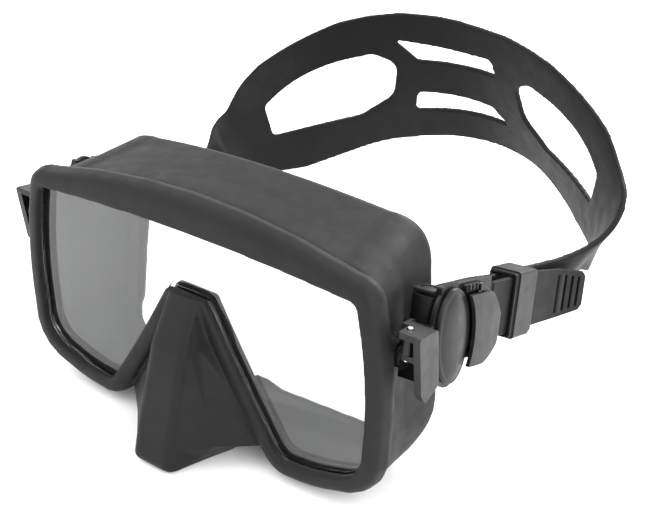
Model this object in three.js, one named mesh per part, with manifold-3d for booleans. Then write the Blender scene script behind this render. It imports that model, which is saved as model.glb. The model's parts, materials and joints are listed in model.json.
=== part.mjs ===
// A frameless single-lens diving mask with a split head strap and two ratchet buckles.
// Millimetres. +X is one side of the mask, +Y runs back towards the face, +Z is up.
// The origin is on the front face of the lens, midway between its top edge and its nose notch.
import * as THREE from "three";
import { mergeVertices } from "three/addons/utils/BufferGeometryUtils.js";
import Module from "manifold-3d";

const wasm = await Module();
wasm.setup();
const deg = THREE.MathUtils.degToRad;

// ---- Driving dimensions ----

const GAP = 0.3; // clearance between pieces that touch
const LENS_THICK = 3.6;
const LENS_LAP = 2.5; // how far the lens reaches past the window, into its groove
const RIM_FRONT = -3.5; // front of the rim, ahead of the lens face
const RIM_EDGE = -0.5; // where the rim's rounded front ends
const RIM_BULGE = 0.6; // how far the rim swells between there and its back
const RIM_BACK = 5.2;
const CAVITY_FRONT = 7; // front of the space for the face
const WALL = 2.4; // silicone wall
const RING_IN = 3.1; // stiff ring round the lens: inner and outer distance from the window
const RING_OUT = 4.6;

// Half of the window's outline: corner x, corner z, corner radius, bow of the edge that follows.
const WINDOW = [
  [70.8, 11, 4, 1.8],
  [76, -55.7, 16, 0.6],
  [40.4, -62.6, 7, 0.6],
  [8.5, -10.3, 2.5, 0],
];
const WINDOW_BROW = 2.7; // bow of the window's top edge
const RIM_WIDTH = [6.2, 7, 6.4, 6.4]; // rim width beside each edge: side, bottom, nose side, notch
const RIM_TOP_WIDTH = 6.4;
const RIM_BROW = 8; // bow of the rim's top edge

const REST_Z = -72; // the nose pocket's underside
const SKIRT_BACK = 46; // where the side wall folds in
const FLANGE = 8; // width of the face seal's fold, at the brow and sides
const LOW_FLANGE = 5; // and under the eyes

// Nose pocket: height, y of its front face, half width of its front face.
const NOSE_RIDGE = [
  [-9, -3.4, 6.5],
  [-16, -7.6, 7.4],
  [-28, -13.6, 8.2],
  [-53, -20.6, 8.6],
  [-62, -23, 8.7],
  [-68, -24.4, 8.8],
];
const NOSE_ROUND = 4; // rounding below the pocket

// Harness: both hinge pins stand in one frame, pitched down towards the back.
const PIN_X = 84;
const PIN_Y = 5.5;
const PIN_Z = -9.3;
const PITCH = deg(8.5);
const BUCKLE_PITCH = deg(6.5); // each buckle points further down than its bracket
const BUCKLE_ROLL = deg(5); // and leans out at the bottom, as the skirt's side does
const SPLAY = deg(4.2); // and points outwards
const PIN_RADIUS = 0.9;
const KNUCKLE_RADIUS = 2.1;
const KNUCKLE = [3.6, 9.3]; // the knuckle's ends, between the bracket's ears
const EAR_TOP = 11.7; // half height of the bracket
const EAR_THICK = 2;
const STUD_RADIUS = 3.5;
const STUD_BACK = 4.5; // the stud's distance behind the pin
const STUD_DEEP = 2.2;
const STUD_Y = PIN_Y + STUD_BACK * Math.cos(PITCH);
const STUD_Z = PIN_Z - STUD_BACK * Math.sin(PITCH);
const BOSS_RADIUS = 4.9; // silicone boss round the stud
const PLATE_IN = -4.2; // inner face of the bracket's back plate, from the pin

// Buckle, in its own frame: x outwards, y back along the strap, z up.
const STRAP_THICK = 2.2;
const STRAP_HALF = 10.3; // half width of the strap in the buckle
const STRAP_MID = 8.6; // height of the strap's middle in the buckle's frame
const ROLLER_X = -5.7;
const ROLLER_Y = 17.4;
const ROLLER_RADIUS = 2.4;
const RUN_OFFSET = ROLLER_RADIUS + GAP + STRAP_THICK / 2; // each run's middle, from the roller's
const CHEEK_HIGH = [STRAP_MID + STRAP_HALF + 0.4, 22.4]; // cheeks above and below the strap
const CHEEK_LOW = [-4.6, STRAP_MID - STRAP_HALF - 0.4];
const FRAME_OUT = 0.9; // outer face of the frame's side plate
const FRAME_FRONT = 10.3;
const FRAME_BACK = 46;
const CAP = { y: 23, z: 5.3, halfLong: 9.3, halfHigh: 16.6, tilt: deg(8.6) };
const FLEX_Y = 51; // where the strap bends behind the buckle
const FLEX_GAP = 0.6;
const LEVER_PIN = [2.3, 36.5];
const LEVER_PIN_RADIUS = 0.8;
const KEEPER_FRONT = 65;
const KEEPER_LONG = 15.6;
const INNER_RUN_X = -8; // middle of the inner run in the keeper; the tail keeps the outer run's
const TAIL_END = 115;

// Head strap: a loop in plan, with a lean that changes round it.
const LOOP = { halfWidth: 96, depth: 87, square: 7.5, centreY: 122.2, yaw: 0.14 };
const LEAN = { right: 0.24, back: -0.42, left: 0.66 }; // radians outwards, at 20, 90 and 160 degrees
const PAD_START = deg(13);
const PAD_THICK = 2.4;
// Upper and lower edges of the pad, as [angle from the side in degrees, height on the band].
const PAD_TOP = [
  [13, -7], [16, -4], [20, -1], [25, 6], [31, 15], [37, 21.5],
  [43, 27.5], [50, 34], [57, 38], [65, 41], [78, 42], [90, 42.5],
];
const PAD_LOW = [
  [13, -30], [20, -33], [34, -36], [42, -36.5], [49, -34.5], [54, -33], [60, -31], [65, -30], [90, -30],
];
const TOP_SHIFT = { right: 3, left: -4 }; // how far each edge curls up where the pad starts
const LOW_SHIFT = { right: -7, left: 0 };

const SILICONE = { color: 0x3a3a3b, roughness: 0.75, metalness: 0 };
const MATERIALS = {
  skirt: SILICONE,
  strap: { color: 0x2c2c2d, roughness: 0.7, metalness: 0 },
  glass: { color: 0xe8eef0, roughness: 0.05, metalness: 0, transparent: true, opacity: 0.3 },
  ring: { color: 0x202022, roughness: 0.5, metalness: 0 },
  plastic: { color: 0x58585a, roughness: 0.45, metalness: 0 },
  steel: { color: 0xc8c8cc, roughness: 0.25, metalness: 1 },
};

// ---- Geometry helpers ----

function toSolid(geometry) {
  const bare = geometry.clone();
  for (const name of Object.keys(bare.attributes)) {
    if (name !== "position") bare.deleteAttribute(name);
  }
  const merged = mergeVertices(bare, 1e-4);
  return new wasm.Manifold(
    new wasm.Mesh({
      numProp: 3,
      vertProperties: new Float32Array(merged.attributes.position.array),
      triVerts: new Uint32Array(merged.index.array),
    }),
  );
}

function toGeometry(solid) {
  const mesh = solid.getMesh();
  const geometry = new THREE.BufferGeometry();
  geometry.setAttribute("position", new THREE.BufferAttribute(mesh.vertProperties, mesh.numProp));
  geometry.setIndex(new THREE.BufferAttribute(mesh.triVerts, 1));
  geometry.computeVertexNormals();
  return geometry;
}

const join = (...geometries) => geometries.map(toSolid).reduce((all, next) => all.add(next));
const cut = (solid, ...geometries) =>
  geometries.map(toSolid).reduce((all, next) => all.subtract(next), solid);

// An outline extruded along one axis. The outline is drawn in the other two, in the order given.
const AXES = {
  x: [[0, 1, 0], [0, 0, 1], [1, 0, 0]], // outline in (y, z)
  y: [[1, 0, 0], [0, 0, 1], [0, -1, 0]], // outline in (x, z)
  z: [[1, 0, 0], [0, 1, 0], [0, 0, 1]], // outline in (x, y)
};
function slab(axis, shape, from, to, curveSegments = 10) {
  const options = { depth: to - from, bevelEnabled: false, curveSegments };
  const geometry = new THREE.ExtrudeGeometry(shape, options);
  const basis = AXES[axis].map((v) => new THREE.Vector3(...v));
  geometry.applyMatrix4(new THREE.Matrix4().makeBasis(...basis));
  const start = axis === "y" ? to : from;
  const shift = { x: [start, 0, 0], y: [0, start, 0], z: [0, 0, start] }[axis];
  return geometry.translate(...shift);
}

function rectangle(x0, x1, y0, y1, radius = 0) {
  return new THREE.Shape(
    loop(
      [[x1, y1], [x1, y0], [x0, y0], [x0, y1]].map(([x, y]) => [x, y, radius, 0]),
      radius ? 4 : 0,
      0,
    ),
  );
}

const circle = (x, y, radius) => new THREE.Shape().absarc(x, y, radius, 0, Math.PI * 2, false);

// A closed outline with round corners and bowed edges: corners are [x, z, radius, bow of the next edge].
// Every outline with the same number of corners has the same number of points, so they can be lofted.
function loop(corners, perCorner = 5, perEdge = 5) {
  const count = corners.length;
  const at = (i) => new THREE.Vector2(...corners[(i + count) % count].slice(0, 2));
  const points = [];
  corners.forEach(([, , radius, bow], i) => {
    const corner = at(i);
    const back = at(i - 1).sub(corner).normalize();
    const ahead = at(i + 1).sub(corner).normalize();
    const reach = Math.max(radius, 0.01) / Math.tan(back.angleTo(ahead) / 2);
    const start = corner.clone().addScaledVector(back, reach);
    const end = corner.clone().addScaledVector(ahead, reach);
    const bend = new THREE.QuadraticBezierCurve(start, corner, end);
    if (perCorner) points.push(...bend.getPoints(perCorner));
    else points.push(corner);
    const next = at(i + 1);
    const nextAhead = at(i + 2).sub(next).normalize();
    const nextRadius = Math.max(corners[(i + 1) % count][2], 0.01);
    const nextReach = nextRadius / Math.tan(ahead.clone().negate().angleTo(nextAhead) / 2);
    const stop = next.clone().addScaledVector(ahead, -nextReach);
    const outwards = new THREE.Vector2(-ahead.y, ahead.x);
    for (let k = 1; k <= perEdge; k++) {
      const t = k / (perEdge + 1);
      points.push(end.clone().lerp(stop, t).addScaledVector(outwards, 4 * bow * t * (1 - t)));
    }
  });
  return points;
}

// Moves each edge of a cornered outline outwards by its own distance.
function grow(corners, distances) {
  const count = corners.length;
  const line = (i) => {
    const a = new THREE.Vector2(...corners[(i + count) % count].slice(0, 2));
    const b = new THREE.Vector2(...corners[(i + 1 + count) % count].slice(0, 2));
    const along = b.sub(a).normalize();
    const outwards = new THREE.Vector2(-along.y, along.x);
    return { point: a.addScaledVector(outwards, distances[(i + count) % count]), along };
  };
  return corners.map(([, , radius, bow], i) => {
    const before = line(i - 1);
    const after = line(i);
    const turn = before.along.cross(after.along);
    const t = after.point.clone().sub(before.point).cross(after.along) / turn;
    const corner = before.point.clone().addScaledVector(before.along, t);
    const wider = radius + (turn < 0 ? 1 : -1) * Math.min(distances[(i - 1 + count) % count], distances[i]);
    return [corner.x, corner.y, Math.max(wider, 1), bow];
  });
}

// The whole outline from its right half, clockwise seen from the front: the top edge comes last.
function mirrored(half, topBow) {
  const left = half.map(([x, z, radius], i) => [-x, z, radius, i ? half[i - 1][3] : topBow]).reverse();
  return [...half, ...left];
}

// A closed solid through rings of matching points, with flat ends.
function loft(rings, flat = (p) => [p.x, p.z]) {
  const size = rings[0].length;
  const positions = rings.flat().flatMap((p) => [p.x, p.y, p.z]);
  const index = [];
  for (let r = 0; r + 1 < rings.length; r++) {
    for (let i = 0; i < size; i++) {
      const j = (i + 1) % size;
      const [a, b] = [r * size + i, r * size + j];
      index.push(a, b, b + size, a, b + size, a + size);
    }
  }
  const cap = (ring, first, flip) => {
    const contour = ring.map((p) => new THREE.Vector2(...flat(p)));
    const reversed = THREE.ShapeUtils.isClockWise(contour);
    const order = ring.map((_, i) => (reversed ? size - 1 - i : i));
    const faces = THREE.ShapeUtils.triangulateShape(order.map((i) => contour[i]), []);
    for (const face of faces) {
      const [a, b, c] = face.map((i) => first + order[i]);
      index.push(...(reversed !== flip ? [a, b, c] : [c, b, a]));
    }
  };
  cap(rings[0], 0, false);
  cap(rings[rings.length - 1], (rings.length - 1) * size, true);
  const geometry = new THREE.BufferGeometry();
  geometry.setAttribute("position", new THREE.Float32BufferAttribute(positions, 3));
  geometry.setIndex(index);
  return signedVolume(geometry) < 0 ? turnedInsideOut(geometry) : geometry;
}

function signedVolume(geometry) {
  const [p, index] = [geometry.attributes.position, geometry.index];
  const corner = [0, 1, 2].map(() => new THREE.Vector3());
  let sum = 0;
  for (let i = 0; i < index.count; i += 3) {
    corner.forEach((v, k) => v.fromBufferAttribute(p, index.getX(i + k)));
    sum += corner[0].dot(corner[1].clone().cross(corner[2])) / 6;
  }
  return sum;
}

function turnedInsideOut(geometry) {
  const array = geometry.index.array;
  for (let i = 0; i < array.length; i += 3) [array[i], array[i + 2]] = [array[i + 2], array[i]];
  return geometry;
}

const ringAt = (points, y) => points.map((p) => new THREE.Vector3(p.x, y, p.y));

function interpolate(table, x) {
  const i = Math.max(1, table.findIndex(([at]) => x <= at));
  const last = x > table[table.length - 1][0] ? table.length - 1 : i;
  const [a, b] = [table[last - 1], table[last]];
  const t = THREE.MathUtils.clamp((x - a[0]) / (b[0] - a[0]), 0, 1);
  return a.map((value, k) => THREE.MathUtils.lerp(value, b[k], t));
}

function mesh(name, geometry, finish) {
  const made = new THREE.Mesh(geometry, new THREE.MeshStandardMaterial(MATERIALS[finish]));
  made.name = name;
  return made;
}

// ---- Window, lens and ring ----

const windowCorners = mirrored(WINDOW, WINDOW_BROW);
const everywhere = (distance) => windowCorners.map(() => distance);
const windowGrown = (distance) => new THREE.Shape(loop(grow(windowCorners, everywhere(distance))));

// The glass: its edge is stepped back so that the rim's lip lies over it.
function lens() {
  const step = 0.5;
  const face = slab("y", windowGrown(-0.4), 0, LENS_THICK);
  return toGeometry(join(face, slab("y", windowGrown(LENS_LAP), step, LENS_THICK)));
}

function lensRing() {
  const front = 0.6;
  const ring = join(slab("y", windowGrown(RING_OUT), front, LENS_THICK - front));
  return toGeometry(cut(ring, slab("y", windowGrown(RING_IN), -1, LENS_THICK + 1)));
}

// ---- Skirt ----

const rimCorners = (() => {
  const sides = [...RIM_WIDTH, ...RIM_WIDTH.slice(0, 3).reverse(), RIM_TOP_WIDTH];
  const corners = grow(windowCorners, sides);
  corners[corners.length - 1][3] = RIM_BROW;
  return corners;
})();

// The rim: a rounded band from the window's edge out to its widest, then back to the seam.
function rim() {
  const inner = loop(windowCorners);
  const outer = loop(rimCorners);
  const across = [0, 0.15, 0.4, 0.65, 0.82, 0.94, 1];
  const rings = across.map((f) => {
    const y = RIM_EDGE - (RIM_EDGE - RIM_FRONT) * Math.pow(1 - Math.pow(f, 3.5), 0.55);
    return inner.map((p, i) => {
      const q = p.clone().lerp(outer[i], f);
      return new THREE.Vector3(q.x, y, q.y);
    });
  });
  const swell = loop(grow(rimCorners, rimCorners.map(() => RIM_BULGE)));
  return loft([...rings, ringAt(swell, (RIM_EDGE + RIM_BACK) / 2), ringAt(outer, RIM_BACK)]);
}

// The side wall's outline at a distance back: [y, top x, top z, bottom x, bottom z, brow bow].
const WALL_STATIONS = [
  [4, 76, 15.5, 80.5, -66, 8.5],
  [8, 74.4, 17, 79, -67.5, 7.5],
  [22, 71, 18.6, 77.5, -69.5, 6],
  [36, 69, 20.2, 77.5, -70, 5],
  [SKIRT_BACK, 68, 21.2, 77, -69, 4.5],
];
function wallRing(y, inset, lowInset = inset) {
  const [, topX, topZ, lowX, lowZ, brow] = interpolate(WALL_STATIONS, y);
  const half = [
    [topX, topZ, 17, -0.6],
    [lowX, lowZ, 20, 0],
  ];
  const corners = grow(mirrored(half, brow), [-inset, -lowInset, -inset, -inset]);
  const depth = THREE.MathUtils.clamp((y - 8) / (SKIRT_BACK - 8), 0, 1.2);
  return loop(corners, 9, 14).map((p) => {
    const low = THREE.MathUtils.smoothstep(-p.y, 30, 65);
    const brow = 7 * (1 - (p.x / 70) ** 2) * (1 - low);
    const lip = 10 * Math.exp(-((p.x / 30) ** 2)) * low;
    const cheekLow = THREE.MathUtils.smoothstep(-p.y, 48, 70);
    const cheek = 16 * cheekLow * (1 - 0.5 * THREE.MathUtils.smoothstep(Math.abs(p.x), 50, 75));
    return new THREE.Vector3(p.x, y - depth * (brow + lip + cheek), p.y);
  });
}
const wallSolid = (stations) => loft(stations.map(([y, ...insets]) => wallRing(y, ...insets)));

// The nose pocket: horizontal sections from the notch down, rounded under.
function nosePocket(inset) {
  const sections = [...NOSE_RIDGE];
  for (const k of [0.4, 0.8, 1]) {
    const [, y, half] = NOSE_RIDGE[NOSE_RIDGE.length - 1];
    const sink = NOSE_ROUND * (1 - Math.sqrt(1 - k * k));
    sections.push([REST_Z + NOSE_ROUND - NOSE_ROUND * k, y + sink, half, sink]);
  }
  const backAt = (z) => THREE.MathUtils.lerp(7.5, 16, THREE.MathUtils.smoothstep(-z, 12, 40));
  return loft(
    sections.map(([z, front, half, sink = 0], i) => {
      const height = z + (i === sections.length - 1 ? inset : 0) - (i === 0 ? 1.6 * inset : 0);
      const t = THREE.MathUtils.clamp((z - WINDOW[3][1]) / (WINDOW[2][1] - WINDOW[3][1]), 0, 1);
      const crease = THREE.MathUtils.lerp(WINDOW[3][0], WINDOW[2][0], t) - RIM_WIDTH[2] - 1.2;
      const root = Math.min(crease, 18 + 2 * Math.max(0, z + 69)) - inset - sink;
      const x = Math.max(root, half - inset * 0.8 + 0.4);
      const ridge = half - inset * 0.8;
      const y = front + inset;
      const right = [
        [ridge - 2.6, y],
        [ridge - 0.7, y + 0.7],
        [ridge, y + 2.6],
        [THREE.MathUtils.lerp(ridge, x, 0.4), THREE.MathUtils.lerp(y, 0, 0.5)],
        [x, Math.max(1, y + 4)],
        [x, backAt(z)],
      ];
      const left = right.map(([px, py]) => [-px, py]).reverse();
      return [...right, ...left].map(([px, py]) => new THREE.Vector3(px, py, height));
    }),
    (p) => [p.x, p.y],
  );
}

// A round boss on each side carries the bracket's stud in a blind hole.
const BOSS_FACE = PIN_X + PLATE_IN - 0.4;
const HOLE_FLOOR = PIN_X + PLATE_IN - STUD_DEEP - GAP;
const sideDisc = (side, radius, from, to) =>
  slab("x", circle(STUD_Y, STUD_Z, radius), ...(side > 0 ? [from, to] : [-to, -from]), 12);

function skirt() {
  const outer = join(
    rim(),
    wallSolid([
      [4, 0], [8, 0], [15, 0], [22, 0], [36, 0],
      [SKIRT_BACK - 3, 0], [SKIRT_BACK, 1.2], [SKIRT_BACK + 2, 4],
    ]),
    nosePocket(0),
    sideDisc(1, BOSS_RADIUS, 73.5, BOSS_FACE),
    sideDisc(-1, BOSS_RADIUS, 73.5, BOSS_FACE),
  );
  const hollow = cut(
    outer,
    wallSolid([
      [CAVITY_FRONT, WALL + 1], [12, WALL], [22, WALL], [36, WALL],
      [SKIRT_BACK - 4, WALL], [SKIRT_BACK - 1, WALL + 4],
    ]),
    wallSolid([12, 22, 36, SKIRT_BACK, SKIRT_BACK + 8].map((y) => [y, WALL + FLANGE, WALL + LOW_FLANGE])),
    nosePocket(WALL),
    slab("y", new THREE.Shape(loop(windowCorners)), RIM_FRONT - 2, CAVITY_FRONT + 0.1),
    slab("y", windowGrown(LENS_LAP + GAP), -GAP, LENS_THICK + GAP),
    slab("y", windowGrown(RING_OUT + GAP), 0.3, LENS_THICK - 0.3),
    sideDisc(1, STUD_RADIUS + GAP, HOLE_FLOOR, BOSS_FACE + 5),
    sideDisc(-1, STUD_RADIUS + GAP, HOLE_FLOOR, BOSS_FACE + 5),
  );
  return toGeometry(hollow);
}

// ---- Hinge bracket and pin, about the pin's middle ----

function bracket() {
  const plate = new THREE.Shape(
    loop(
      [[6.4, EAR_TOP, 1.5, 0], [12.4, -9.4, 1.5, 0], [5, -13.6, 1.2, 0], [1.4, -9.8, 1, 0], [-5, EAR_TOP, 1, 0]],
      3,
      0,
    ),
  );
  const ear = rectangle(-1.6, 4.4, -4.6, 5.5, 0.8);
  const backPlate = [PLATE_IN, PLATE_IN + 1.2];
  const high = [EAR_TOP - EAR_THICK, EAR_TOP];
  const low = [KNUCKLE[0] - GAP - 1.8, KNUCKLE[0] - GAP];
  const solid = join(
    slab("x", plate, 4, 6.5),
    slab("z", ear, ...high),
    slab("z", rectangle(PLATE_IN, 0, 2.2, 5.5, 0.3), ...high),
    slab("z", rectangle(-1.6, 4.4, -1.4, 7, 0.8), ...low),
    slab("z", rectangle(PLATE_IN, 0, 3.2, 7, 0.3), ...low),
    slab("x", rectangle(3.2, 8.6, -5, EAR_TOP, 1.5), ...backPlate),
    slab("x", circle(STUD_BACK, 0, STUD_RADIUS), PLATE_IN - STUD_DEEP, backPlate[1] - 0.4, 12),
  );
  return toGeometry(cut(solid, slab("z", circle(0, 0, PIN_RADIUS + GAP), -20, 20, 8)));
}

const hingePin = () => slab("z", circle(0, 0, PIN_RADIUS), KNUCKLE[0] - 2.8, EAR_TOP + 0.6, 8);

// ---- Buckle ----

const buckleTurn = new THREE.Matrix4().makeRotationFromEuler(
  new THREE.Euler(-BUCKLE_PITCH, -BUCKLE_ROLL, -SPLAY),
);

// The cap's tilted ellipse in (y, z), grown all round.
function capOutline(more, points = 28) {
  const { y, z, halfLong, halfHigh, tilt } = CAP;
  const radii = [halfLong + more, halfHigh + more];
  const ellipse = new THREE.EllipseCurve(y, z, ...radii, 0, Math.PI * 2, false, tilt);
  return ellipse.getPoints(points).slice(1);
}

function buckleFrame() {
  const pinFrame = buckleTurn.clone().invert();
  const back = (n0, n1, y0, y1, [z0, z1]) => slab("x", rectangle(y0, y1, z0, z1, 0.6), n0, n1);
  const rollerEnd = ROLLER_X - ROLLER_RADIUS - 0.8;
  const leverY = LEVER_PIN[1];
  const solid = join(
    slab("z", circle(0, 0, KNUCKLE_RADIUS), ...KNUCKLE, 8).applyMatrix4(pinFrame),
    slab("z", rectangle(-1.6, 1.6, 0, 12), ...KNUCKLE).applyMatrix4(pinFrame),
    back(rollerEnd, FRAME_OUT, FRAME_FRONT, FRAME_FRONT + 1.8, [-9, 10.5]),
    slab("x", new THREE.Shape(capOutline(1.7)), -0.4, FRAME_OUT),
    back(-0.4, FRAME_OUT, 22, FRAME_BACK, [CHEEK_LOW[0], CHEEK_HIGH[1]]),
    back(-1.2, FRAME_OUT, 15, FRAME_BACK - 4, CHEEK_HIGH),
    back(rollerEnd, -1, ROLLER_Y - 4, ROLLER_Y + 4, [CHEEK_HIGH[0], CHEEK_HIGH[0] + 1.6]),
    back(rollerEnd, FRAME_OUT, FRAME_FRONT, FRAME_BACK, CHEEK_LOW),
    back(FRAME_OUT - 0.2, 3.8, leverY - 1.9, leverY + 1.9, [CHEEK_HIGH[0], CHEEK_HIGH[1] - 0.6]),
    back(FRAME_OUT - 0.2, 2.6, 27.6, leverY, [CHEEK_HIGH[0] + 0.3, CHEEK_HIGH[1] - 0.5]),
    back(FRAME_OUT - 0.2, 3.8, leverY - 1.9, leverY + 1.9, [CHEEK_LOW[0] + 0.4, CHEEK_LOW[1]]),
  );
  const strapSpace = rectangle(ROLLER_Y - 5.2, FRAME_BACK + 5, CHEEK_LOW[1], CHEEK_HIGH[0]);
  return toGeometry(
    cut(
      solid,
      slab("x", strapSpace, -20, -0.4),
      slab("z", circle(0, 0, PIN_RADIUS + GAP), -20, 20, 8).applyMatrix4(pinFrame),
      slab("z", circle(ROLLER_X, ROLLER_Y, ROLLER_RADIUS + GAP), CHEEK_LOW[0] + 1, CHEEK_HIGH[0] + 5, 8),
      slab("z", circle(...LEVER_PIN, LEVER_PIN_RADIUS + GAP), -20, 40, 8),
    ),
  );
}

const strapRoller = () =>
  slab("z", circle(ROLLER_X, ROLLER_Y, ROLLER_RADIUS), CHEEK_LOW[0] + 1.3, CHEEK_HIGH[0] + 1.4, 8);

// The oval cap, crowned outwards.
function buckleCap() {
  const layer = (x, more) => capOutline(more).map((p) => new THREE.Vector3(x, p.x, p.y));
  return loft([layer(1.2, 0), layer(2.6, 0), layer(3.5, -0.9), layer(4, -3)], (p) => [p.y, p.z]);
}

const leverPin = () =>
  slab("z", circle(...LEVER_PIN, LEVER_PIN_RADIUS), CHEEK_LOW[0] + 0.5, CHEEK_HIGH[1] - 0.7, 8);

// The release lever: a shell that turns on the lever pin.
function lever() {
  const side = new THREE.Shape(
    loop(
      [
        [42, 18.9, 6, 0.3], [50.6, 9, 7, 0.3], [50.6, -1, 7, 0.3],
        [41, -6.6, 6, 0.2], [24, -5.4, 2, 0], [24, 18.9, 1, 0],
      ],
      6,
      2,
    ),
  );
  const section = new THREE.Shape(
    loop(
      [[4.2, 50.6, 1.4, 0.8], [1.4, 50.6, 0.6, 0], [1.4, 24, 0.4, 0], [4.6, 24, 0.5, -0.4]],
      3,
      3,
    ),
  );
  const shell = toSolid(slab("z", section, -8, 24)).intersect(toSolid(slab("x", side, -5, 10, 6)));
  const [pinX, pinY] = LEVER_PIN;
  const reach = LEVER_PIN_RADIUS + GAP;
  return toGeometry(
    cut(
      shell,
      slab("x", new THREE.Shape(capOutline(0.6, 40)), -5, 10),
      slab("z", rectangle(0, pinX + reach, 20, pinY + reach), -20, 40),
      slab("x", rectangle(pinY - 2.8, pinY + 2.8, -12, CHEEK_LOW[1] + GAP), -5, 4.2),
    ),
  );
}

// The strap's loop inside the buckle: inner run, turn round the roller, outer run.
function strapLoop() {
  const [inside, outside] = [ROLLER_RADIUS + GAP, ROLLER_RADIUS + GAP + STRAP_THICK];
  const end = FLEX_Y - FLEX_GAP / 2;
  const outline = new THREE.Shape().moveTo(ROLLER_X + outside, end);
  outline.lineTo(ROLLER_X + inside, end).lineTo(ROLLER_X + inside, ROLLER_Y);
  outline.absarc(ROLLER_X, ROLLER_Y, inside, 0, -Math.PI, true);
  outline.lineTo(ROLLER_X - inside, end).lineTo(ROLLER_X - outside, end);
  outline.lineTo(ROLLER_X - outside, ROLLER_Y);
  outline.absarc(ROLLER_X, ROLLER_Y, outside, -Math.PI, 0, false);
  return slab("z", outline, STRAP_MID - STRAP_HALF, STRAP_MID + STRAP_HALF, 10);
}

// The keeper: a loop round both runs, with a raised band between two thinner collars.
function keeper() {
  const clear = STRAP_THICK / 2 + 0.4;
  const wall = 1.7;
  const x = [INNER_RUN_X - clear, ROLLER_X + RUN_OFFSET + clear];
  const z = [STRAP_MID - STRAP_HALF - 0.4, STRAP_MID + STRAP_HALF + 0.4];
  const around = (more, radius) => rectangle(x[0] - more, x[1] + more, z[0] - more, z[1] + more, radius);
  const [front, back] = [KEEPER_FRONT, KEEPER_FRONT + KEEPER_LONG];
  const solid = join(
    slab("y", around(wall - 0.7, 1.2), front, back),
    slab("y", around(wall, 1.6), front + 1.8, back - 2.6),
  );
  return toGeometry(cut(solid, slab("y", around(0, 0), front - 1, back + 1)));
}

// ---- Head strap ----

const harness = new THREE.Matrix4()
  .makeTranslation(0, PIN_Y, PIN_Z)
  .multiply(new THREE.Matrix4().makeRotationX(-PITCH));

// A buckle frame's point in the mask's own frame.
function fromBuckle(side, x, y, z) {
  const p = new THREE.Vector3(x, y, z).applyMatrix4(buckleTurn);
  p.x = side * (p.x + PIN_X);
  return p.applyMatrix4(harness);
}

// The loop's middle line in plan, at an angle from the right-hand side, and its outward direction.
function loopAt(angle) {
  const { halfWidth, depth, square, centreY, yaw } = LOOP;
  const x = halfWidth * Math.cos(angle) + square * Math.cos(3 * angle);
  const y = depth * Math.sin(angle) - square * Math.sin(3 * angle);
  const dx = -halfWidth * Math.sin(angle) - 3 * square * Math.sin(3 * angle);
  const dy = depth * Math.cos(angle) - 3 * square * Math.cos(3 * angle);
  const turn = new THREE.Matrix4().makeRotationZ(yaw);
  const out = new THREE.Vector3(dy, -dx, 0).normalize().applyMatrix4(turn);
  const middle = new THREE.Vector3(x, y, 0).applyMatrix4(turn).add(new THREE.Vector3(0, centreY, 0));
  return { middle, out };
}

function leanAt(angle) {
  const [a, m, b] = [deg(20), deg(90), deg(160)];
  return (
    (LEAN.right * (angle - m) * (angle - b)) / ((a - m) * (a - b)) +
    (LEAN.back * (angle - a) * (angle - b)) / ((m - a) * (m - b)) +
    (LEAN.left * (angle - a) * (angle - m)) / ((b - a) * (b - m))
  );
}

// A point of the head strap: angle round the loop, height on the band, depth through it.
function bandPoint(angle, height, depth) {
  const { middle, out } = loopAt(angle);
  const lean = leanAt(angle);
  const up = new THREE.Vector3(0, 0, Math.cos(lean)).addScaledVector(out, Math.sin(lean));
  const through = out.clone().multiplyScalar(Math.cos(lean)).add(new THREE.Vector3(0, 0, -Math.sin(lean)));
  return middle.addScaledVector(up, height).addScaledVector(through, depth);
}

// Height of the pad's upper or lower edge at an angle round the loop.
function padHeight(angle, top) {
  const fold = THREE.MathUtils.radToDeg(Math.min(angle, Math.PI - angle));
  const shift = (top ? TOP_SHIFT : LOW_SHIFT)[angle < Math.PI / 2 ? "right" : "left"];
  const near = 1 - THREE.MathUtils.smoothstep(fold, 18, 27);
  return interpolate(top ? PAD_TOP : PAD_LOW, fold)[1] + shift * near;
}

// A band's cross section: up its inner face and down its outer face.
function ringOf(low, high, out) {
  const ups = [0, 0.25, 0.5, 0.75, 1];
  const face = (order, depth) => order.map((t) => low.clone().lerp(high, t).addScaledVector(out, depth));
  return [...face(ups, -PAD_THICK / 2), ...face([...ups].reverse(), PAD_THICK / 2)];
}

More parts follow.
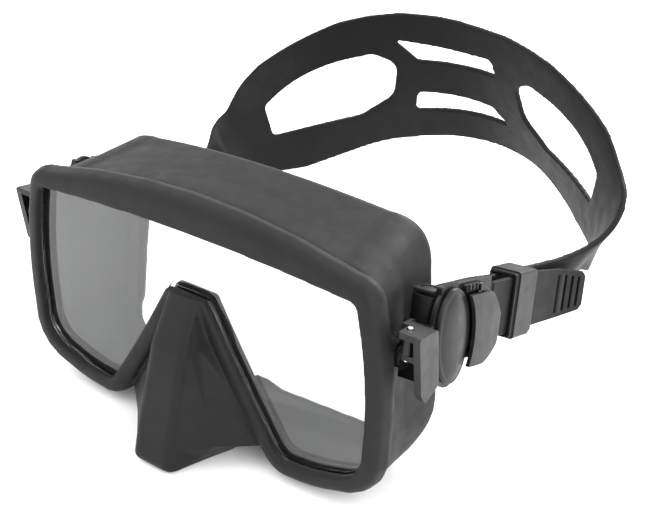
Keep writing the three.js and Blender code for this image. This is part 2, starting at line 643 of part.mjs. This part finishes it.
// One side's run from the buckle to the pad, as cross sections.
function sideRun(side) {
  const sections = [];
  const outwards = fromBuckle(side, 1, 0, 0).sub(fromBuckle(side, 0, 0, 0));
  const start = ROLLER_X - RUN_OFFSET;
  const fade = [[FLEX_Y + FLEX_GAP / 2, 0], [54, 0.1], [58, 0.6], [62, 0.97], [64, 1], [74, 1], [86, 1]];
  for (const [y, t] of fade) {
    const x = THREE.MathUtils.lerp(start, INNER_RUN_X, t);
    const [low, high] = [-STRAP_HALF, STRAP_HALF].map((z) => fromBuckle(side, x, y, STRAP_MID + z));
    sections.push({ low, high, out: outwards });
  }
  const angle = side > 0 ? PAD_START : Math.PI - PAD_START;
  const padOut = bandPoint(angle, 0, 1).sub(bandPoint(angle, 0, 0));
  const from = sections[sections.length - 1];
  const before = sections[sections.length - 2];
  const step = 0.02 * (side > 0 ? 1 : -1);
  const edge = (key, top) => {
    const height = (a) => padHeight(a, top);
    const end = bandPoint(angle, height(angle), 0);
    const ahead = bandPoint(angle + step, height(angle + step), 0).sub(end).normalize();
    const behind = from[key].clone().sub(before[key]).normalize();
    const reach = from[key].distanceTo(end) / 2.6;
    return new THREE.CubicBezierCurve3(
      from[key],
      from[key].clone().addScaledVector(behind, reach),
      end.clone().addScaledVector(ahead, -reach),
      end,
    );
  };
  const [low, high] = [edge("low", false), edge("high", true)];
  const steps = 24;
  for (let k = 1; k < steps; k++) {
    const t = k / steps;
    const along = low.getTangent(t).add(high.getTangent(t)).normalize();
    const up = high.getPoint(t).sub(low.getPoint(t)).normalize();
    const out = along.cross(up).normalize();
    if (out.dot(outwards) + out.dot(padOut) < 0) out.negate();
    sections.push({ low: low.getPoint(t), high: high.getPoint(t), out });
  }
  return sections;
}

// Holes, as [angle in degrees, height, corner radius, bow] outlines on the band.
const TEARDROP = [
  [58, 19.5, 8, 0], [65.5, 14, 9, 0], [65.5, -4, 9, 0], [57, -13.5, 6, 0], [33, -18.5, 2, 0], [31.3, -4, 4, 3],
];
const UPPER_SLOT = [[74, 25, 3.5, 0.8], [74, 16, 3.5, 0], [108.5, 16.8, 1.5, 0], [116, 26.8, 0.5, 0.8]];
const LOWER_SLOT = [[107.5, -1.6, 3, 0], [107.5, -12.6, 3, 0], [74, -13, 0.5, 0], [79.5, -5, 1.5, 0.4]];

function bandHole(outline, mirror) {
  const spacing = 1.6; // millimetres along the band for each degree, so that corners come out round
  const corners = outline.map(([angle, height, radius, bow]) => [angle * spacing, height, radius, bow]);
  const points = loop(corners, 7, 10);
  const ring = (depth) =>
    points.map((p) => {
      const angle = deg(p.x / spacing);
      return bandPoint(mirror ? Math.PI - angle : angle, p.y, depth);
    });
  const seen = (p) => [p.x, p.z];
  return loft([ring(-7), ring(9)], seen);
}

function headStrap() {
  const right = sideRun(1);
  const left = sideRun(-1).reverse();
  const pad = [];
  const steps = 120;
  for (let k = 0; k <= steps; k++) {
    const angle = THREE.MathUtils.lerp(PAD_START, Math.PI - PAD_START, k / steps);
    const [low, high] = [false, true].map((top) => bandPoint(angle, padHeight(angle, top), 0));
    const out = bandPoint(angle, 0, 1).sub(bandPoint(angle, 0, 0));
    pad.push({ low, high, out });
  }
  const rings = [...right, ...pad, ...left].map(({ low, high, out }) => ringOf(low, high, out));
  const band = join(loft(rings, (p) => [p.x, p.z]));
  const holes = [
    bandHole(TEARDROP, false), bandHole(TEARDROP, true), bandHole(UPPER_SLOT), bandHole(LOWER_SLOT),
  ];
  return toGeometry(cut(band, ...holes));
}

// The tail: the strap's free end, from the buckle through the keeper and out over the side run.
function tail(side) {
  const x = ROLLER_X + RUN_OFFSET;
  const run = [
    [x, FLEX_Y + FLEX_GAP / 2, STRAP_HALF],
    [x, 84, STRAP_HALF],
    [x + 1.6, 100, STRAP_HALF - 0.8],
    [x + 4.4, TAIL_END - 2, STRAP_HALF - 2.6],
    [x + 4.8, TAIL_END, STRAP_HALF - 4.6],
  ];
  const out = fromBuckle(side, STRAP_THICK / 2, 0, 0).sub(fromBuckle(side, 0, 0, 0));
  return loft(
    run.map(([n, y, half]) => {
      const [low, high] = [-half, half].map((z) => fromBuckle(side, n, y, STRAP_MID + z));
      return [low.clone().sub(out), high.clone().sub(out), high.add(out), low.add(out)];
    }),
    (p) => [p.x, p.z],
  );
}

// ---- Assembly ----

const mask = new THREE.Group();
mask.add(mesh("lens", lens(), "glass"));
mask.add(mesh("lens_ring", lensRing(), "ring"));
mask.add(mesh("skirt", skirt(), "skirt"));
mask.add(mesh("strap", headStrap(), "strap"));

for (const [side, name] of [[1, "right"], [-1, "left"]]) {
  const pitched = new THREE.Group();
  pitched.position.set(0, PIN_Y, PIN_Z);
  pitched.rotation.x = -PITCH;
  pitched.scale.x = side;

  const pin = new THREE.Group();
  pin.position.x = PIN_X;
  pin.add(mesh(`bracket_${name}`, bracket(), "plastic"));
  pin.add(mesh(`hinge_pin_${name}`, hingePin(), "steel"));

  const buckle = new THREE.Group();
  buckle.rotation.set(-BUCKLE_PITCH, -BUCKLE_ROLL, -SPLAY);
  buckle.add(mesh(`buckle_frame_${name}`, buckleFrame(), "plastic"));
  buckle.add(mesh(`buckle_cap_${name}`, buckleCap(), "plastic"));
  buckle.add(mesh(`strap_roller_${name}`, strapRoller(), "steel"));
  buckle.add(mesh(`lever_pin_${name}`, leverPin(), "steel"));
  buckle.add(mesh(`release_lever_${name}`, lever(), "plastic"));
  buckle.add(mesh(`strap_loop_${name}`, strapLoop(), "strap"));
  buckle.add(mesh(`keeper_${name}`, keeper(), "plastic"));

  pin.add(buckle);
  pitched.add(pin);
  mask.add(pitched);
  mask.add(mesh(`strap_tail_${name}`, tail(side), "strap"));
}

export default mask;
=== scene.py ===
import json
import math

import bpy
import numpy as np
from mathutils import Matrix, Vector


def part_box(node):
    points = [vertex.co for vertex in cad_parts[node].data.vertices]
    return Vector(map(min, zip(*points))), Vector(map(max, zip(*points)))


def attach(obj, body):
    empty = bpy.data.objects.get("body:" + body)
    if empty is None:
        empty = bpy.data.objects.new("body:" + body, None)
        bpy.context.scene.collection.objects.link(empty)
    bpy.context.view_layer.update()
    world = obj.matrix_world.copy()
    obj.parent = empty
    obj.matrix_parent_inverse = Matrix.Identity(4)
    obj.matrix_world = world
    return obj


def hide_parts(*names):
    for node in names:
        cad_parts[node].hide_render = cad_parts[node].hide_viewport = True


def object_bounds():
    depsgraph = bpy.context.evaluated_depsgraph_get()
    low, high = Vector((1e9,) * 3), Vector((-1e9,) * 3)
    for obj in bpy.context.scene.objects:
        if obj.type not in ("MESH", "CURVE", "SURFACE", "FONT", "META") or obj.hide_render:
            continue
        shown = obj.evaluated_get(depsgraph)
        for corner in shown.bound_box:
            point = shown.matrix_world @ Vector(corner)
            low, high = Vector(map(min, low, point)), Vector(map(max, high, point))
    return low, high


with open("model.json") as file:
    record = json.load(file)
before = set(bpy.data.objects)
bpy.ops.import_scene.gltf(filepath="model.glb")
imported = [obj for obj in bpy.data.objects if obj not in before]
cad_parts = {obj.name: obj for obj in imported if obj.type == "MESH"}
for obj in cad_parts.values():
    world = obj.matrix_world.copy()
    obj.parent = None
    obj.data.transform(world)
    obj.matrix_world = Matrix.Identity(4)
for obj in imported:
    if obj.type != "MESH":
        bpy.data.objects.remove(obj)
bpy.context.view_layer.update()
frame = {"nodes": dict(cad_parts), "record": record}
record = frame["record"]
MM = 0.001

# ---------------------------------------------------------------- frames

# The right buckle's own frame: x outwards, y back along the strap, z up. Angles in degrees.
HARNESS_PITCH = 8.5
BUCKLE_PITCH = 6.5
BUCKLE_ROLL = 5.0
BUCKLE_SPLAY = 4.2
pin = next(j["pos_m"] for j in record["behaviour"]["joints"] if j["name"] == "swing_right")


def turn(degrees, axis):
    return Matrix.Rotation(math.radians(degrees), 4, axis)


HARNESS = Matrix.Translation((0, pin[1], pin[2])) @ turn(-HARNESS_PITCH, "X")
BUCKLE = (
    Matrix.Translation((pin[0], 0, 0))
    @ turn(-BUCKLE_PITCH, "X")
    @ turn(-BUCKLE_ROLL, "Y")
    @ turn(-BUCKLE_SPLAY, "Z")
)
RIGHT_BUCKLE = HARNESS @ BUCKLE
MIRROR = Matrix.Diagonal((-1, 1, 1, 1))
SIDES = {"right": Matrix.Identity(4), "left": MIRROR}

# ---------------------------------------------------------------- materials


class Shader:
    """A Principled material being built: helpers make and join its nodes."""

    def __init__(self, name):
        self.material = bpy.data.materials.new(name)
        self.material.use_nodes = True
        self.tree = self.material.node_tree
        self.surface = self.tree.nodes["Principled BSDF"]
        self.place = self.node("ShaderNodeTexCoord").outputs["Object"]
        self.normal = None

    def node(self, kind, **values):
        made = self.tree.nodes.new(kind)
        for key, value in values.items():
            setattr(made, key, value)
        return made

    def link(self, a, b):
        self.tree.links.new(a, b)

    def noise(self, scale, detail=4.0, stretch=(1, 1, 1)):
        mapping = self.node("ShaderNodeMapping")
        mapping.inputs["Scale"].default_value = stretch
        self.link(self.place, mapping.inputs["Vector"])
        made = self.node("ShaderNodeTexNoise")
        made.inputs["Scale"].default_value = scale
        made.inputs["Detail"].default_value = detail
        self.link(mapping.outputs["Vector"], made.inputs["Vector"])
        return made.outputs["Fac"]

    def cells(self, scale):
        made = self.node("ShaderNodeTexVoronoi", feature="SMOOTH_F1")
        made.inputs["Scale"].default_value = scale
        self.link(self.place, made.inputs["Vector"])
        return made.outputs["Distance"]

    def spread(self, value, low, high):
        made = self.node("ShaderNodeMapRange")
        made.inputs["From Min"].default_value = 0.3
        made.inputs["From Max"].default_value = 0.7
        made.inputs["To Min"].default_value = low
        made.inputs["To Max"].default_value = high
        self.link(value, made.inputs["Value"])
        return made.outputs["Result"]

    def tint(self, value, dark, light):
        ramp = self.node("ShaderNodeValToRGB")
        ramp.color_ramp.elements[0].position = 0.3
        ramp.color_ramp.elements[1].position = 0.7
        ramp.color_ramp.elements[0].color = (*dark, 1)
        ramp.color_ramp.elements[1].color = (*light, 1)
        self.link(value, ramp.inputs["Fac"])
        return ramp.outputs["Color"]

    def bump(self, height, strength, distance):
        made = self.node("ShaderNodeBump")
        made.inputs["Strength"].default_value = strength
        made.inputs["Distance"].default_value = distance
        self.link(height, made.inputs["Height"])
        if self.normal:
            self.link(self.normal, made.inputs["Normal"])
        self.normal = made.outputs["Normal"]
        self.link(self.normal, self.surface.inputs["Normal"])

    def set(self, **values):
        for key, value in values.items():
            self.surface.inputs[key.replace("_", " ")].default_value = value


def silicone(name, dark, light, rough, specular):
    """Matte moulded silicone: clouded tone, a fine blasted grain and a faint dusty sheen."""
    s = Shader(name)
    s.link(s.tint(s.noise(38, 6), dark, light), s.surface.inputs["Base Color"])
    s.link(s.spread(s.noise(160, 3), rough - 0.06, rough + 0.06), s.surface.inputs["Roughness"])
    s.bump(s.noise(90, 2), 0.12, 0.0006)
    s.bump(s.noise(2600, 2), 0.18, 0.00008)
    s.set(Specular_IOR_Level=specular, Sheen_Weight=0.008, Sheen_Roughness=0.5)
    return s.material


def plastic(name, dark, light, rough):
    """Satin moulded plastic with a fine spark-eroded grain."""
    s = Shader(name)
    s.link(s.tint(s.noise(60, 5), dark, light), s.surface.inputs["Base Color"])
    s.link(s.spread(s.noise(240, 4), rough - 0.07, rough + 0.07), s.surface.inputs["Roughness"])
    s.bump(s.cells(3200), 0.22, 0.00006)
    s.set(Specular_IOR_Level=0.32)
    return s.material


def steel(name):
    """Drawn stainless steel: streaks along the pin."""
    s = Shader(name)
    streaks = s.noise(420, 4, (1, 1, 0.06))
    s.link(s.tint(streaks, (0.5, 0.5, 0.51), (0.72, 0.72, 0.73)), s.surface.inputs["Base Color"])
    s.link(s.spread(streaks, 0.2, 0.4), s.surface.inputs["Roughness"])
    s.bump(streaks, 0.15, 0.00005)
    s.set(Metallic=1.0)
    return s.material


def glass(name):
    """Clear toughened glass with faint smears and a slight waviness."""
    s = Shader(name)
    smears = s.noise(22, 3, (1, 1, 0.4))
    tone = s.tint(smears, (0.93, 0.955, 0.955), (0.97, 0.985, 0.98))
    s.link(tone, s.surface.inputs["Base Color"])
    s.link(s.spread(smears, 0.0, 0.025), s.surface.inputs["Roughness"])
    s.bump(s.noise(9, 1), 0.03, 0.0004)
    s.set(Transmission_Weight=1.0, IOR=1.5)
    return s.material


def paper(name):
    """White studio paper."""
    s = Shader(name)
    tone = s.tint(s.noise(6, 4), (0.92, 0.92, 0.92), (0.94, 0.94, 0.94))
    s.link(tone, s.surface.inputs["Base Color"])
    s.link(s.spread(s.noise(30, 3), 0.7, 0.8), s.surface.inputs["Roughness"])
    s.bump(s.noise(400, 3), 0.05, 0.0002)
    return s.material


SKIRT = silicone("skirt silicone", (0.005, 0.005, 0.0052), (0.008, 0.008, 0.0083), 0.56, 0.2)
STRAP = silicone("strap silicone", (0.003, 0.003, 0.0031), (0.0045, 0.0045, 0.0047), 0.55, 0.16)
SHELL = plastic("shell plastic", (0.005, 0.005, 0.0052), (0.008, 0.008, 0.0082), 0.4)
BODY = plastic("body plastic", (0.004, 0.004, 0.0041), (0.006, 0.006, 0.0062), 0.4)
RING = plastic("ring plastic", (0.014, 0.014, 0.015), (0.02, 0.02, 0.021), 0.5)
STEEL = steel("pin steel")
GLASS = glass("toughened glass")
PAPER = paper("studio paper")

# ---------------------------------------------------------------- mesh tools


def add(name, mesh, material):
    made = bpy.data.objects.new(name, mesh)
    bpy.context.scene.collection.objects.link(made)
    mesh.materials.clear()
    mesh.materials.append(material)
    return made


def modifier(piece, kind, **settings):
    made = piece.modifiers.new(kind.lower(), kind)
    for key, value in settings.items():
        setattr(made, key, value)
    return made


def apply_modifiers(piece):
    bpy.context.view_layer.update()
    graph = bpy.context.evaluated_depsgraph_get()
    piece.data = bpy.data.meshes.new_from_object(piece.evaluated_get(graph))
    piece.modifiers.clear()


def settle(piece, sharp=None):
    """Applies a piece's modifiers and shades it smooth, with edges over `sharp` degrees left crisp."""
    apply_modifiers(piece)
    piece.data.shade_smooth()
    if sharp:
        piece.data.set_sharp_from_angle(angle=math.radians(sharp))
        modifier(piece, "WEIGHTED_NORMAL", keep_sharp=True)
        apply_modifiers(piece)
    return piece


def joined_up(node, name, material):
    """A copy of a CAD node with its split vertices welded."""
    piece = add(name, frame["nodes"][node].data.copy(), material)
    modifier(piece, "WELD", merge_threshold=0.002 * MM)
    return piece


def moulded(node, material, voxel, rounds, *extras):
    """A copy, with any extras joined on, remade as an even fine mesh with softened corners."""
    piece = joined_up(node, f"{node}_moulded", material)
    for extra in extras:
        modifier(piece, "BOOLEAN", operation="UNION", solver="EXACT", object=extra)
    modifier(piece, "REMESH", mode="VOXEL", voxel_size=voxel * MM)
    modifier(piece, "SMOOTH", factor=0.5, iterations=rounds)
    settle(piece)
    for extra in extras:
        bpy.data.objects.remove(extra)
    return piece


def merge_flats(piece):
    modifier(piece, "DECIMATE", decimate_type="DISSOLVE", angle_limit=math.radians(1.5))


def round_edges(piece, width, segments, angle):
    """Rounds the edges that turn by more than `angle` degrees, to a width in millimetres."""
    limit = math.radians(angle)
    modifier(piece, "BEVEL", width=width * MM, segments=segments, limit_method="ANGLE", angle_limit=limit)


def bevelled(node, material, width, segments=3, angle=28):
    """A copy with flat faces merged and its corners rounded."""
    piece = joined_up(node, f"{node}_bevelled", material)
    merge_flats(piece)
    round_edges(piece, width, segments, angle)
    return settle(piece, 35)


def bar(name, low, high, radius, material, frame_matrix):
    """A rounded bar between two corners given in millimetres in a local frame."""
    low, high = Vector(low) * MM, Vector(high) * MM
    mesh = bpy.data.meshes.new(name)
    ends = (low, high)
    corners = [
        (ends[1 - i % 2].x, ends[1 - i // 2 % 2].y, ends[1 - i // 4].z) for i in range(8)
    ]
    faces = [(0, 1, 3, 2), (4, 6, 7, 5), (0, 4, 5, 1), (2, 3, 7, 6), (0, 2, 6, 4), (1, 5, 7, 3)]
    mesh.from_pydata(corners, [], faces)
    piece = add(name, mesh, material)
    modifier(piece, "BEVEL", width=radius * MM, segments=4, limit_method="NONE")
    settle(piece, 50)
    piece.data.transform(frame_matrix)
    return face_out(piece)


def face_out(piece):
    """Turns a closed mesh's faces outwards."""
    mesh = piece.data
    mesh.calc_loop_triangles()
    volume = 0
    for triangle in mesh.loop_triangles:
        a, b, c = (mesh.vertices[i].co for i in triangle.vertices)
        volume += a.dot(b.cross(c))
    if volume < 0:
        mesh.flip_normals()
    return piece


def carve(piece, tools, sharp=35):
    """Cuts each tool out of a piece and removes the tools."""
    for tool in tools:
        modifier(piece, "BOOLEAN", operation="DIFFERENCE", solver="EXACT", object=tool)
    settle(piece, sharp)
    for tool in tools:
        bpy.data.objects.remove(tool)
    return piece


def finish_piece(piece, body, slot, *nodes):
    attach(piece, body)
    if nodes:
        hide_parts(*nodes)


# ---------------------------------------------------------------- skirt, lens and strap

# A thicker ledge across the top of the nose pocket, behind the glass.
ledge = bar("nose_ledge", (-7.4, 4.5, -16), (7.4, 9.5, -12.6), 0.8, SKIRT, Matrix.Identity(4))
skirt = moulded("skirt", SKIRT, 0.6, 4, ledge)
finish_piece(skirt, "mask", "skirt_silicone", "skirt")

pane = bevelled("lens", GLASS, 0.25, 2)
finish_piece(pane, "mask", "glass", "lens")

ring = bevelled("lens_ring", RING, 0.2, 2)
finish_piece(ring, "mask", "ring_plastic", "lens_ring")

band = moulded("strap", STRAP, 0.6, 4)
finish_piece(band, "headband", "strap_silicone", "strap")

# ---------------------------------------------------------------- hardware


# The cap's tilted ellipse, and its crown as (height, inset) from the rim inwards, in millimetres.
CAP_LONG, CAP_HIGH, CAP_TILT = 9.3, 16.6, 8.6
CAP_BASE = [(1.2, 0), (2.3, 0)]
CAP_LIP = [(2.75, 0.25), (2.95, 0.75), (2.8, 1.25)]
CAP_CROWN = [(3.1, 1.8), (3.6, 3.6), (3.95, 6.2), (4.05, 9)]
CAP_STEPS = 96
CAP_NARROWEST = 0.3


def oval_cap(side, local):
    """The cap's crown, with a lip round its edge, over the CAD cap's tilted ellipse."""
    low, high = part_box("buckle_cap_right")
    middle = RIGHT_BUCKLE.inverted() @ ((low + high) / 2)
    tilt = math.radians(CAP_TILT)
    profile = CAP_BASE + CAP_LIP + CAP_CROWN
    points, faces = [], []
    for height, inset in profile:
        for k in range(CAP_STEPS):
            angle = 2 * math.pi * k / CAP_STEPS
            y = max(CAP_LONG - inset, CAP_NARROWEST) * MM * math.cos(angle)
            z = max(CAP_HIGH - inset, CAP_NARROWEST) * MM * math.sin(angle)
            back = middle.y + y * math.cos(tilt) - z * math.sin(tilt)
            up = middle.z + y * math.sin(tilt) + z * math.cos(tilt)
            points.append((height * MM, back, up))
    for start in range(0, len(points) - CAP_STEPS, CAP_STEPS):
        for k in range(CAP_STEPS):
            a, b = start + k, start + (k + 1) % CAP_STEPS
            faces.append((a, b, b + CAP_STEPS, a + CAP_STEPS))
    faces.append(tuple(reversed(range(CAP_STEPS))))
    faces.append(tuple(range(len(points) - CAP_STEPS, len(points))))
    mesh = bpy.data.meshes.new(f"cap_{side}")
    mesh.from_pydata(points, [], faces)
    mesh.transform(local)
    piece = face_out(add(f"cap_{side}", mesh, SHELL))
    mesh.shade_smooth()
    mesh.set_sharp_from_angle(angle=math.radians(50))
    return piece


STRAP_MID = 8.6
SLOT_PLACES = (97.8, 102.2, 106.2, 110.0)
SLOT_LONG = 1.5
SLOT_DEEP = 1.3


def ribbed_tail(side, local):
    """The tail with four slots across it near its end, following its curl and its taper."""
    piece = joined_up(f"strap_tail_{side}", f"tail_{side}", STRAP)
    merge_flats(piece)
    round_edges(piece, 0.5, 3, 40)
    settle(piece, 40)
    slots = []
    for y in SLOT_PLACES:
        face = np.interp(y, (84, 100, 113, 115), (-0.8, 0.8, 3.6, 4.0))
        half = np.interp(y, (84, 100, 113), (8.1, 7.3, 5.5))
        low = (face - SLOT_DEEP, y, STRAP_MID - half)
        high = (face + 3, y + SLOT_LONG, STRAP_MID + half)
        slots.append(bar("slot", low, high, 0.35, STRAP, local))
    return carve(piece, slots, 40)


# The lever's thumb ribs: the first rib's place along the buckle, their spacing and each one's width.
RIB_START, RIB_STEP, RIB_WIDE = 28.6, 2.2, 1.2

# Each moulded or turned part of a side: node, body it rides on, slot, material, rounding width.
HARDWARE = [
    ("bracket", "hinge", "buckle_plastic", SHELL, 0.35),
    ("hinge_pin", "hinge", "steel", STEEL, 0.2),
    ("buckle_frame", "buckle", "buckle_plastic", BODY, 0.3),
    ("strap_roller", "buckle", "steel", BODY, 0.25),
    ("lever_pin", "buckle", "steel", STEEL, 0.15),
    ("release_lever", "lever", "buckle_plastic", SHELL, 0.4),
]

for side, flip in SIDES.items():
    local = flip @ RIGHT_BUCKLE
    buckle, keeper = f"buckle_{side}", f"keeper_{side}"
    for node, body, slot, material, width in HARDWARE:
        piece = bevelled(f"{node}_{side}", material, width)
        finish_piece(piece, f"{body}_{side}", slot, f"{node}_{side}")

    cap = oval_cap(side, local)
    finish_piece(cap, buckle, "buckle_plastic", f"buckle_cap_{side}")
    strap_turn = bevelled(f"strap_loop_{side}", STRAP, 0.35, 3, 40)
    finish_piece(strap_turn, buckle, "strap_silicone", f"strap_loop_{side}")
    finish_piece(bevelled(keeper, SHELL, 0.45, 4), keeper, "buckle_plastic", keeper)
    tail = ribbed_tail(side, local)
    finish_piece(tail, "headband", "strap_silicone", f"strap_tail_{side}")

    for k in range(3):
        y = RIB_START + RIB_STEP * k
        rib = bar(f"rib_{side}_{k}", (1.6, y, 19.8), (3.2, y + RIB_WIDE, 22.1), 0.4, SHELL, local)
        finish_piece(rib, buckle, "buckle_plastic")

# ---------------------------------------------------------------- studio

low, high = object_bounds()
floor_mesh = bpy.data.meshes.new("floor")
reach = 6.0
floor_corners = [(x * reach, y * reach, low.z) for x, y in ((-1, -1), (1, -1), (1, 1), (-1, 1))]
floor_mesh.from_pydata(floor_corners, [], [(0, 1, 2, 3)])
floor = add("floor", floor_mesh, PAPER)

bpy.context.scene.view_settings.view_transform = "Standard"

world = bpy.data.worlds.new("studio")
bpy.context.scene.world = world
world.use_nodes = True
world.node_tree.nodes["Background"].inputs["Color"].default_value = (1, 1, 1, 1)
world.node_tree.nodes["Background"].inputs["Strength"].default_value = 1.7

centre = Vector((0, 0.06, -0.01))


def softbox(name, place, size, power):
    light = bpy.data.lights.new(name, "AREA")
    light.shape = "RECTANGLE"
    light.size, light.size_y = size
    light.energy = power
    lamp = bpy.data.objects.new(name, light)
    bpy.context.scene.collection.objects.link(lamp)
    lamp.location = place
    lamp.rotation_euler = (centre - lamp.location).to_track_quat("-Z", "Y").to_euler()


softbox("key", (-0.5, -0.5, 1.0), (1.1, 1.1), 6)
softbox("fill", (1.1, -0.4, 0.6), (0.8, 0.6), 9)
softbox("back", (0.2, 1.1, 0.7), (1.0, 0.5), 16)

# The reference viewpoint: azimuth from straight ahead, elevation and tilt in degrees, aim point.
AZIMUTH, ELEVATION, TILT = 35.31, 27.72, 1.26
AIM = Vector((58.1, -3.5, 22.9)) * MM
DISTANCE = 0.3392
azimuth, elevation, tilt = (math.radians(v) for v in (AZIMUTH, ELEVATION, TILT))
flat_back = Vector((math.sin(azimuth), -math.cos(azimuth), 0))
back = flat_back * math.cos(elevation) + Vector((0, 0, math.sin(elevation)))
level = Vector((math.cos(azimuth), math.sin(azimuth), 0))
rise = back.cross(level)
across = level * math.cos(tilt) + rise * math.sin(tilt)
above = -level * math.sin(tilt) + rise * math.cos(tilt)
lens = bpy.data.cameras.new("camera")
lens.sensor_width = 36
lens.lens = 62.6
camera = bpy.data.objects.new("camera", lens)
bpy.context.scene.collection.objects.link(camera)
facing = Matrix((across, above, back)).transposed().to_4x4()
camera.matrix_world = Matrix.Translation(AIM + back * DISTANCE) @ facing
bpy.context.scene.camera = camera
